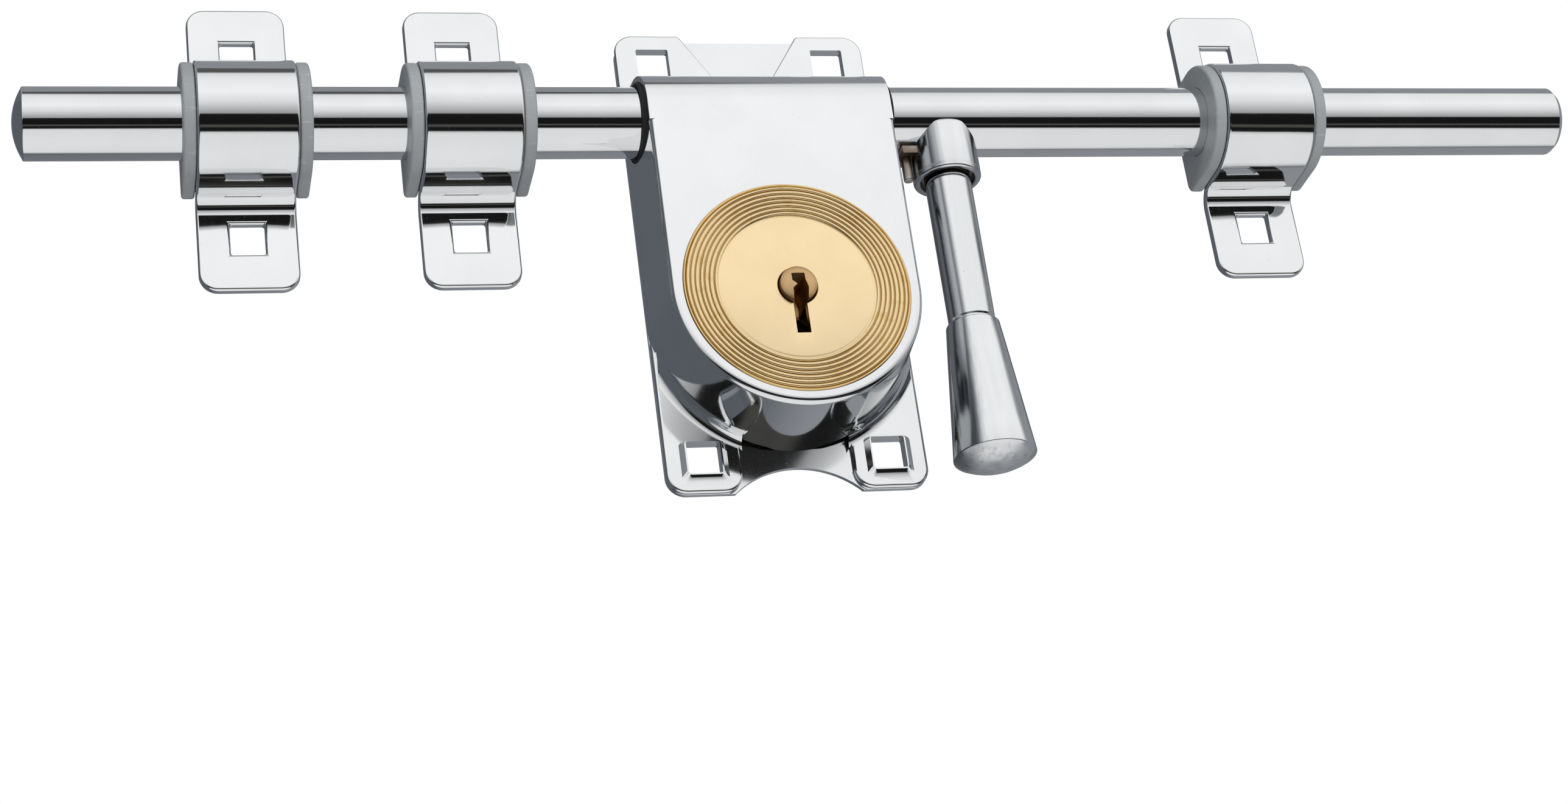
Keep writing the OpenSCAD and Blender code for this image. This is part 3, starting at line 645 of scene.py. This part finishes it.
def makeEars():
    c, made = case, []
    for i, outline in enumerate(earOutlines()):
        ear = slab("ear", [at(x, c["plate"] + 0.05, z) for x, z in outline], at(0, c["earFront"] - c["plate"] - 0.05, 0))
        if i:  # the drum's foot turns out on to the lower ears in a hollow bend
            b, foot = c["footBend"], c["earFront"]
            outer = wallAt(foot) + b
            bend = [(24.9, 1.5), (24.9, 5.6), (wallAt(foot + b) - 0.02, foot + b)] + curve(outer, foot + b, b, 180, 270, 8)[1:] + [(outer, 1.5)]
            ring = turned("bend", bend + bend[:1], at(0, 0, -keyDrop), Vector((0, -1, 0)), Vector((-1, 0, 0)), 240)
            inset = [(x * 0.985 + (0.28 if x < 0 else -0.28), z) for x, z in outline]
            combine(ring, slab("footprint", [at(x, 1.6, z) for x, z in inset], at(0, 8, 0)), "INTERSECT")
            finishWith(ear, "BEVEL", width=mm(c["earEase"]), segments=4, limit_method="ANGLE", angle_limit=math.radians(50))
            x = c["holeX"] * (-1 if i == 1 else 1)
            pad(ear, x, c["holeBottom"])
            squareHoles(ear, [(x, c["holeBottom"])], 0, 6)
            combine(ear, ring, "UNION")
        else:
            finishWith(ear, "BEVEL", width=mm(0.45), segments=3, limit_method="ANGLE", angle_limit=math.radians(50))
            squareHoles(ear, [(side * c["holeX"], c["holeTop"]) for side in (-1, 1)], 0, 6)
        made.append(ear)
    return made


def squareHoles(piece, spots, low, high):
    c = case
    h = c["holeSide"] / 2
    for x, z in spots:
        hole = front(x - h, x + h, z - h, z + h, low, high, c["holeCorner"], "hole")
        combine(piece, hole, "DIFFERENCE")


def makeShell():
    c = case
    shell = makeTub()
    combine(shell, front(-22.4, 22.4, -keyDrop - 1, c["rimTop"] + 0.5, c["front"] - c["sheet"], c["front"]), "UNION")
    combine(shell, makeCover(), "UNION")
    for ear in makeEars():
        combine(shell, ear, "UNION")
    combine(shell, bar(at(0, 17, -keyDrop), Vector((0, -1, 0)), c["faceHole"], 6, steps=192), "DIFFERENCE")
    for side in (-1, 1):
        wedge = [(side * c["seamFrom"], c["plate"]), (side * c["seamTo"], c["plate"]),
                 (side * c["seamTo"], c["plate"] + c["seamHeight"]), (side * (c["seamFrom"] + 2), c["plate"] + 0.75)]
        combine(shell, slab("seam", [at(x, h, -72) for x, h in wedge], (0, 0, mm(14))), "DIFFERENCE")
    pick(shell)
    bpy.ops.object.mode_set(mode="EDIT")
    tidyFaces(0.004)
    smoothFlat(shell)
    place(shell, shellLook, "chrome_case", "case", "case_shell")
    print("shell:", len(shell.data.polygons), "faces")


def makePlate():
    c = case
    x, r = c["baseHalf"], c["earCorner"]
    ball = (c["hollowHalf"] ** 2 + c["hollowRise"] ** 2) / (2 * c["hollowRise"])
    top = math.degrees(math.asin(c["hollowHalf"] / ball))
    hollow = curve(0, c["earBottom"] - ball + c["hollowRise"], ball, 90 - top, 90 + top, 24)
    outline = curve(-x + r, c["bridgeTop"] - r, r, 180, 90) + curve(x - r, c["bridgeTop"] - r, r, 90, 0)
    outline += curve(x - r, c["earBottom"] + r, r, 0, -90) + hollow + curve(-x + r, c["earBottom"] + r, r, -90, -180)
    plate = slab("backPlate", [at(a, 0, b) for a, b in outline], at(0, c["plate"] - 0.01, 0))
    spots = [(side * c["holeX"], z) for side in (-1, 1) for z in (c["holeTop"], c["holeBottom"])]
    squareHoles(plate, spots, -2, 4)
    finishWith(plate, "BEVEL", width=mm(0.16), segments=2, limit_method="ANGLE", angle_limit=math.radians(50))
    for a, b, hole in ((0, -keyDrop, 1.66), (-15, -24, 1.25), (18.4, -18.5, 1.15), (18.4, -47.5, 1.15)):
        combine(plate, bar(at(a, -2, b), Vector((0, -1, 0)), hole, 6, steps=48), "DIFFERENCE")
    smoothFlat(plate)
    place(plate, plateLook, "chrome_plate", "case", "back_plate")


def makeLiners():
    c = case
    bore, outside = 7.06, c["cover"] - c["sheet"] - 0.06
    for side, name in ((-1, "left"), (1, "right")):
        face = c["frontHalf"] + c["linerOut"]
        back = face - c["linerWidth"]
        ring = [(bore, back), (outside, back), (outside, face - 0.3)] + arc(outside - 0.3, face - 0.3, 0.3, 20, 90, 4)
        ring += [(bore + 0.25, face), (bore, face - 0.25), (bore, back)]
        piece = turned("caseLiner" + name.title(), ring, at(0, rodRise, 0), Vector((side, 0, 0)), Vector((0, 0, 1)), 128)
        smooth(piece, 40)
        place(piece, linerLook, "black_liner", "liners", "case_liner_" + name)


makeShell()
makePlate()
makeLiners()
print("case made")

face = {"radius": 22.2, "front": 20.1, "back": 18.1, "field": 15.3, "ringHeight": 0.26, "rings": 7,
        "rimWidth": 0.5, "barrelHole": 3.85, "slotWidth": 2.7, "slotReach": 10.0, "steps": 192}


def makeFace():
    f = face
    crown = f["front"] - 0.02
    floor = crown - f["ringHeight"]
    hole = f["barrelHole"]
    profile = [(hole, floor - 0.15), (hole + 0.15, floor), (f["field"] - 0.5, floor), (f["field"] - 0.3, floor - 0.05),
               (f["field"] - 0.1, floor - 0.12)]
    pitch = (f["radius"] - f["rimWidth"] - f["field"]) / f["rings"]
    for i in range(f["rings"]):
        middle = f["field"] + (i + 0.5) * pitch
        swell = pitch * (0.45 if i % 3 else 0.38)
        for step in range(9):
            a = math.pi * (1 - step / 8)
            profile.append((middle + swell * math.cos(a), floor - 0.12 + (crown - floor + 0.12) * math.sin(a) ** 0.7))
    edge = f["radius"]
    profile += [(edge - 0.5, floor), (edge - 0.38, floor + 0.16), (edge - 0.14, floor + 0.14), (edge, floor - 0.05),
                (edge, f["back"]), (hole, f["back"])]
    centre = at(0, 0, -keyDrop)
    piece = turned("brassRosette", profile + profile[:1], centre, Vector((0, -1, 0)), Vector((1, 0, 0)), f["steps"])
    half = f["slotWidth"] / 2
    combine(piece, front(-half, half, -keyDrop - f["slotReach"], -keyDrop, f["back"] - 2, f["back"] + 6, 0.12), "DIFFERENCE")
    smooth(piece, 40)
    place(piece, brassLook, "brass_face", "case", "brass_face")
    piece = copyOf("key_barrel", "keyBarrel", 0.12, 2)
    place(piece, barrelLook, "brass_barrel", "key_barrel", "key_barrel")


makeFace()
print("brass face made")

guide = {"width": 19.0, "thick": 2.0, "bend": 12.0, "footBend": 3.4, "foot": 31.2, "footCorner": 3.6,
         "holeZ": 20.3, "ease": 0.55, "flange": 11.6, "flangeThick": 2.5, "flangeCorner": 2.4, "flangeEase": 0.55,
         "lift": 0.3, "body": 9.95, "seat": 0.05, "bore": 7.06,
         "places": {"left": -100.975, "middle": -58.543, "right": 104.017}}


def makeStrap():
    g = guide
    r, b, t = g["bend"], g["footBend"], g["thick"]
    half = [(rodRise, r), (t + b + 2.5, r), (t + b, r)] + curve(t + b, r + b, b, -90, -180, 10) + [(t, g["foot"])]
    path = [(h, -z) for h, z in reversed(half)] + curve(rodRise, 0, r, -90, 90, 48)[1:-1] + half
    strap = trace("guideStrap", [at(-g["width"] / 2, h, z) for h, z in path])
    bpy.ops.mesh.extrude_region_move(TRANSFORM_OT_translate={"value": (mm(g["width"]), 0, 0)})
    # the square holes are cut out of the flat feet before the sheet gets its thickness
    half, holeZ = mm(case["holeSide"] / 2), mm(g["holeZ"])
    cuts = [((side * half, 0, 0), (1, 0, 0)) for side in (-1, 1)]
    cuts += [((0, 0, end * holeZ + side * half), (0, 0, 1)) for end in (-1, 1) for side in (-1, 1)]
    for spot, direction in cuts:
        bpy.ops.mesh.select_all(action="SELECT")
        bpy.ops.mesh.bisect(plane_co=spot, plane_no=direction)
    bpy.ops.mesh.select_mode(type="FACE")
    bpy.ops.mesh.select_all(action="DESELECT")
    bpy.ops.object.mode_set(mode="OBJECT")
    for face in strap.data.polygons:
        face.select = abs(face.center.x) < half and abs(abs(face.center.z) - holeZ) < half
    bpy.ops.object.mode_set(mode="EDIT")
    bpy.ops.mesh.delete(type="FACE")
    bpy.ops.mesh.select_mode(type="VERT")
    tidyFaces()
    middle = min(strap.data.polygons, key=lambda face: face.center.y)
    outward = middle.normal.y < 0
    finishWith(strap, "SOLIDIFY", thickness=mm(t), offset=-1 if outward else 1, use_even_offset=True)
    # the feet's corners are rounded through the sheet
    end, side = mm(g["foot"]) - 1e-5, mm(g["width"] / 2) - 1e-5
    pickEdges(strap, lambda a, b: min(abs(a.z), abs(b.z)) > end and min(abs(a.x), abs(b.x)) > side and a.x * b.x > 0)
    bpy.ops.mesh.bevel(offset=mm(g["footCorner"]), segments=9, affect="EDGES")
    bpy.ops.mesh.select_mode(type="VERT")
    tidyFaces()
    finishWith(strap, "BEVEL", width=mm(g["ease"]), segments=3, limit_method="ANGLE", angle_limit=math.radians(50))
    smoothFlat(strap)
    return strap


def flangeOutline(radius, corner):
    g = guide
    return (curve(rodRise, 0, radius, -90, 90, 56) + curve(g["lift"] + corner, radius - corner, corner, 90, 180, 6)
            + curve(g["lift"] + corner, -radius + corner, corner, 180, 270, 6))


def makeBush():
    g = guide
    body = g["width"] / 2 + g["seat"]
    bush = slab("guideBush", [at(-body - 0.01, h, z) for h, z in flangeOutline(g["body"], 2)], (mm(2 * body + 0.02), 0, 0))
    for start in (-body - g["flangeThick"], body):
        flange = slab("flange", [at(start, h, z) for h, z in flangeOutline(g["flange"], g["flangeCorner"])],
                      (mm(g["flangeThick"]), 0, 0))
        finishWith(flange, "BEVEL", width=mm(g["flangeEase"]), segments=4, limit_method="ANGLE", angle_limit=math.radians(50))
        combine(bush, flange, "UNION")
    end = body + g["flangeThick"]
    combine(bush, bar(at(-end - 2, rodRise, 0), Vector((1, 0, 0)), g["bore"], 2 * end + 4), "DIFFERENCE")
    smoothFlat(bush)
    return bush


def makeGuides():
    strap, bush = makeStrap(), makeBush()
    for side, x in guide["places"].items():
        piece = copyTo(strap, "guideStrap" + side.title(), (mm(x), 0, 0))
        place(piece, strapLook, "chrome_strap", "case", "guide_strap_" + side)
        piece = copyTo(bush, "guideBush" + side.title(), (mm(x), 0, 0))
        place(piece, bushLook, "grey_nylon", "case", "guide_bush_" + side)
    for pattern in (strap, bush):
        bpy.data.objects.remove(pattern)


makeGuides()
print("guides made")

inner = {"bolt": workBrass, "bolt_guide_pins": workSteel, "lever_post": workSteel, "lever_1": workBrass,
         "lever_2": workBrass, "lever_3": workBrass, "spring_1": workBrass, "spring_2": workBrass, "spring_3": workBrass}
for node, look in inner.items():
    for socket in frame["nodes"][node].material_slots:
        socket.material = look
print("inner work finished")

studio = {
    "floorDepth": -0.45, "floorSize": 12.0, "background": 1.0,
    # brightness in front, by elevation in degrees; the black strip mirrors in every round bar
    "front": ((-90, 0.85), (-50, 0.8), (-46, 0.6), (-44.5, 0.01), (-38, 0.008), (-36.8, 0.07), (-33.2, 0.07), (-32, 0.008),
              (-13.5, 0.01), (-12, 0.35), (10, 0.8), (30, 1.0), (60, 0.9), (72, 0.75), (76, 0.09), (90, 0.1)),
    "backLeft": (0.1, 0.113, 0.13), "backRight": (0.27, 0.28, 0.3),
}


def makeFloor():
    deselectAll()
    bpy.ops.mesh.primitive_plane_add(size=studio["floorSize"], location=(0, 0, studio["floorDepth"]))
    floor = bpy.context.object
    floor.name = "studioFloor"
    look = Look("paleFloor", Roughness=0.8, Emission_Color=(1, 1, 1, 1), Emission_Strength=0.3)
    look.colour(look.mix(look.noise(6, 3), (0.8, 0.8, 0.8), (0.84, 0.84, 0.84)))
    floor.data.materials.append(look.material)
    floor.visible_glossy = False


def makeWorld():
    # a white tent in front of the lock with a black strip below, and a dim room behind
    world = bpy.data.worlds.new("softTent")
    bpy.context.scene.world = world
    world.use_nodes = True
    tree = world.node_tree
    tree.nodes.clear()
    tent = Nodes(tree)
    x, y, z = tent.axes(tent.node("ShaderNodeTexCoord", {}, output="Generated"))
    height = z.math("ARCSINE") * (180 / math.pi)
    turn = x.math("ARCTAN2", y * -1) * (180 / math.pi)
    front = turn.over(-49, 13) * (1 - turn.over(78, 7))
    front = front.math("MAXIMUM", (height * -1).over(46, 9))
    stops = [(0.5 + e / 180, (v * 1.04, v, v * 0.93) if v == 0.07 else (v, v, v)) for e, v in studio["front"]]
    ahead = tent.node("ShaderNodeValToRGB", {"stops": stops}, height / 180 + 0.5)
    behind = tent.mix(x.over(0, 0.4).math("MAXIMUM", height.over(45, 12)), studio["backLeft"], studio["backRight"])
    corner = turn.over(135, 12) * (1 - (height - 24).math("ABSOLUTE").over(8, 5))  # it draws the dark outlines
    around = tent.mix(front, tent.mix(corner, behind, (0.06, 0.065, 0.07)), ahead)
    rays = tent.node("ShaderNodeLightPath", {}, output=None)
    seen = tent.mix(Signal(tent, rays.outputs["Is Camera Ray"]), around, (studio["background"],) * 3)
    shade = tent.node("ShaderNodeBackground", {}, seen, 1.0, output=None)
    out = tree.nodes.new("ShaderNodeOutputWorld")
    tree.links.new(shade.outputs[0], out.inputs[0])


def makeCamera():
    right = Vector((0.9697, -0.2083, -0.1278))
    up = Vector((0.0240, -0.4392, 0.8981))
    forward = Vector((0.2432, 0.8739, 0.4209))
    camera = bpy.data.cameras.new("photoCamera")
    camera.lens, camera.sensor_width = 69.31, 36.0
    camera.clip_start, camera.clip_end = 0.01, 20
    holder = bpy.data.objects.new("photoCamera", camera)
    bpy.context.scene.collection.objects.link(holder)
    holder.matrix_world = Matrix(((right.x, up.x, -forward.x, -0.1424), (right.y, up.y, -forward.y, -0.5102),
                                  (right.z, up.z, -forward.z, -0.3022), (0, 0, 0, 1)))
    bpy.context.scene.camera = holder


def makeLights():
    for name, spot, size, power in (("keyPanel", (-0.5, -1.0, 0.7), 0.9, 9), ("fillPanel", (0.8, -0.9, 0.1), 0.9, 5)):
        lamp = bpy.data.lights.new(name, "AREA")
        lamp.energy, lamp.size = power, size
        holder = bpy.data.objects.new(name, lamp)
        bpy.context.scene.collection.objects.link(holder)
        holder.location = spot
        holder.rotation_mode = "QUATERNION"
        holder.rotation_quaternion = (Vector((0, 0, -0.02)) - Vector(spot)).to_track_quat("-Z", "Y")
        holder.visible_glossy = False


makeFloor()
makeWorld()
makeCamera()
makeLights()
bpy.context.scene.view_settings.view_transform = "Standard"
print("studio made")
